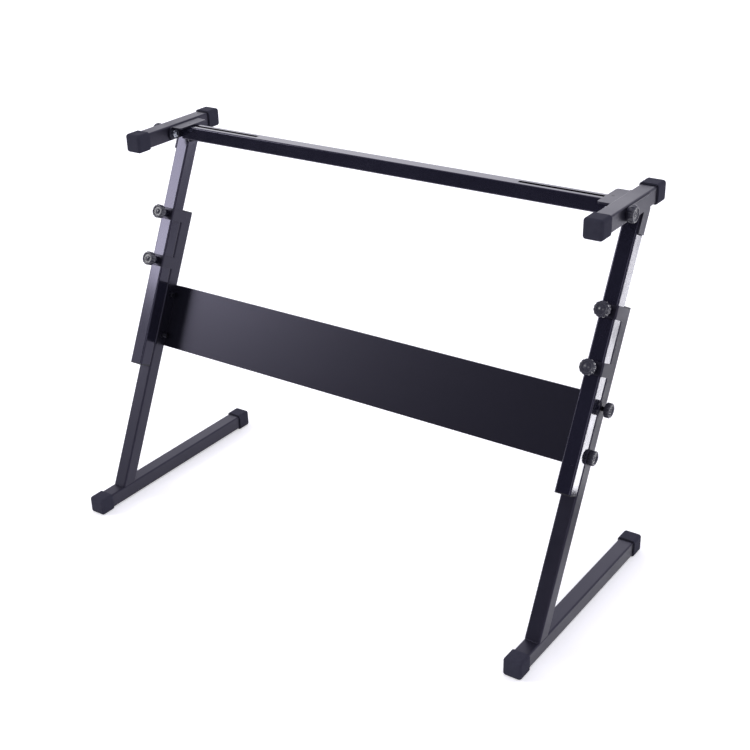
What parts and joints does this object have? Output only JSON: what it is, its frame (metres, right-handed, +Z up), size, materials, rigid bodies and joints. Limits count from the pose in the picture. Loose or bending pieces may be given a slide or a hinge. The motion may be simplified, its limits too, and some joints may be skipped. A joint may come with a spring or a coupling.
{
  "type": "folding keyboard stand",
  "caption": "Z-shaped folding stand for a keyboard: square tube legs with sliding posts and clamp knobs, folding arms, a slotted bar and a sheet panel.",
  "frame": {"origin": "on the floor, in the middle of the box round the stand, which is midway between the two feet and midway along them", "axes": "+X to the right leg for a player who stands at the front and looks back along +Y, +Y to the back, +Z up"},
  "size_m": [0.979, 0.45, 0.7008],
  "materials": {
    "frame_paint": "satin",
    "panel_paint": "gloss",
    "cap_rubber": "matte",
    "plug_plastic": "matte",
    "knob_plastic": "satin",
    "black_steel": "satin",
    "zinc_steel": "satin"
  },
  "bodies": {
    "lower_frame": {"foot_tube_left": "frame_paint", "foot_cap_left_front": "cap_rubber", "foot_cap_left_rear": "cap_rubber", "lower_post_left": "frame_paint", "lower_post_plug_left": "plug_plastic", "clamp_bracket_left_upper": "frame_paint", "clamp_bracket_left_lower": "frame_paint", "foot_tube_right": "frame_paint", "foot_cap_right_front": "cap_rubber", "foot_cap_right_rear": "cap_rubber", "lower_post_right": "frame_paint", "lower_post_plug_right": "plug_plastic", "clamp_bracket_right_upper": "frame_paint", "clamp_bracket_right_lower": "frame_paint", "panel": "panel_paint"},
    "top_frame": {"upper_post_left": "frame_paint", "upper_post_plug_left": "plug_plastic", "hinge_plate_outer_left": "frame_paint", "hinge_plate_inner_left": "frame_paint", "bar_bolt_left": "black_steel", "bar_washer_left": "black_steel", "arm_nut_left": "zinc_steel", "upper_post_right": "frame_paint", "upper_post_plug_right": "plug_plastic", "hinge_plate_outer_right": "frame_paint", "hinge_plate_inner_right": "frame_paint", "bar_bolt_right": "black_steel", "bar_washer_right": "black_steel", "arm_nut_right": "zinc_steel", "top_bar": "frame_paint"},
    "arm_left": {"arm_tube_left": "frame_paint", "arm_cap_left_front": "cap_rubber", "arm_cap_left_rear": "cap_rubber"},
    "height_clamp_left_upper": {"height_knob_left_upper": "knob_plastic", "height_screw_left_upper": "black_steel"},
    "height_clamp_left_lower": {"height_knob_left_lower": "knob_plastic", "height_screw_left_lower": "black_steel"},
    "panel_clamp_left_upper": {"panel_knob_left_upper": "knob_plastic", "panel_screw_left_upper": "black_steel"},
    "panel_clamp_left_lower": {"panel_knob_left_lower": "knob_plastic", "panel_screw_left_lower": "black_steel"},
    "arm_clamp_left": {"arm_knob_left": "knob_plastic", "arm_bolt_left": "zinc_steel"},
    "arm_right": {"arm_tube_right": "frame_paint", "arm_cap_right_front": "cap_rubber", "arm_cap_right_rear": "cap_rubber"},
    "height_clamp_right_upper": {"height_knob_right_upper": "knob_plastic", "height_screw_right_upper": "black_steel"},
    "height_clamp_right_lower": {"height_knob_right_lower": "knob_plastic", "height_screw_right_lower": "black_steel"},
    "panel_clamp_right_upper": {"panel_knob_right_upper": "knob_plastic", "panel_screw_right_upper": "black_steel"},
    "panel_clamp_right_lower": {"panel_knob_right_lower": "knob_plastic", "panel_screw_right_lower": "black_steel"},
    "arm_clamp_right": {"arm_knob_right": "knob_plastic", "arm_bolt_right": "zinc_steel"}
  },
  "joints": [
    {"name": "height_slide", "type": "slide", "parent": "lower_frame", "child": "top_frame", "axis": [0, 0.4384, 0.8988], "range_m": [-0.11, 0.18]},
    {"name": "arm_fold_left", "type": "hinge", "parent": "top_frame", "child": "arm_left", "pos_m": [-0.46, 0.07438, 0.684], "axis": [1, 0, 0], "range_deg": [0, 64]},
    {"name": "height_knob_turn_left_upper", "type": "hinge", "parent": "lower_frame", "child": "height_clamp_left_upper", "pos_m": [-0.46, 0.04631, 0.53402], "axis": [0, -0.8988, 0.4384], "continuous": true},
    {"name": "height_knob_turn_left_lower", "type": "hinge", "parent": "lower_frame", "child": "height_clamp_left_lower", "pos_m": [-0.46, 0.00642, 0.45223], "axis": [0, -0.8988, 0.4384], "continuous": true},
    {"name": "panel_knob_turn_left_upper", "type": "hinge", "parent": "lower_frame", "child": "panel_clamp_left_upper", "pos_m": [-0.46, 0.02483, 0.37594], "axis": [-1, 0, 0], "continuous": true},
    {"name": "panel_knob_turn_left_lower", "type": "hinge", "parent": "lower_frame", "child": "panel_clamp_left_lower", "pos_m": [-0.46, -0.01023, 0.30403], "axis": [-1, 0, 0], "continuous": true},
    {"name": "arm_knob_turn_left", "type": "hinge", "parent": "top_frame", "child": "arm_clamp_left", "pos_m": [-0.46, 0.07438, 0.684], "axis": [-1, 0, 0], "continuous": true},
    {"name": "arm_fold_right", "type": "hinge", "parent": "top_frame", "child": "arm_right", "pos_m": [0.46, 0.07438, 0.684], "axis": [1, 0, 0], "range_deg": [0, 64]},
    {"name": "height_knob_turn_right_upper", "type": "hinge", "parent": "lower_frame", "child": "height_clamp_right_upper", "pos_m": [0.46, 0.04631, 0.53402], "axis": [0, -0.8988, 0.4384], "continuous": true},
    {"name": "height_knob_turn_right_lower", "type": "hinge", "parent": "lower_frame", "child": "height_clamp_right_lower", "pos_m": [0.46, 0.00642, 0.45223], "axis": [0, -0.8988, 0.4384], "continuous": true},
    {"name": "panel_knob_turn_right_upper", "type": "hinge", "parent": "lower_frame", "child": "panel_clamp_right_upper", "pos_m": [0.46, 0.02483, 0.37594], "axis": [1, 0, 0], "continuous": true},
    {"name": "panel_knob_turn_right_lower", "type": "hinge", "parent": "lower_frame", "child": "panel_clamp_right_lower", "pos_m": [0.46, -0.01023, 0.30403], "axis": [1, 0, 0], "continuous": true},
    {"name": "arm_knob_turn_right", "type": "hinge", "parent": "top_frame", "child": "arm_clamp_right", "pos_m": [0.46, 0.07438, 0.684], "axis": [1, 0, 0], "continuous": true}
  ]
}
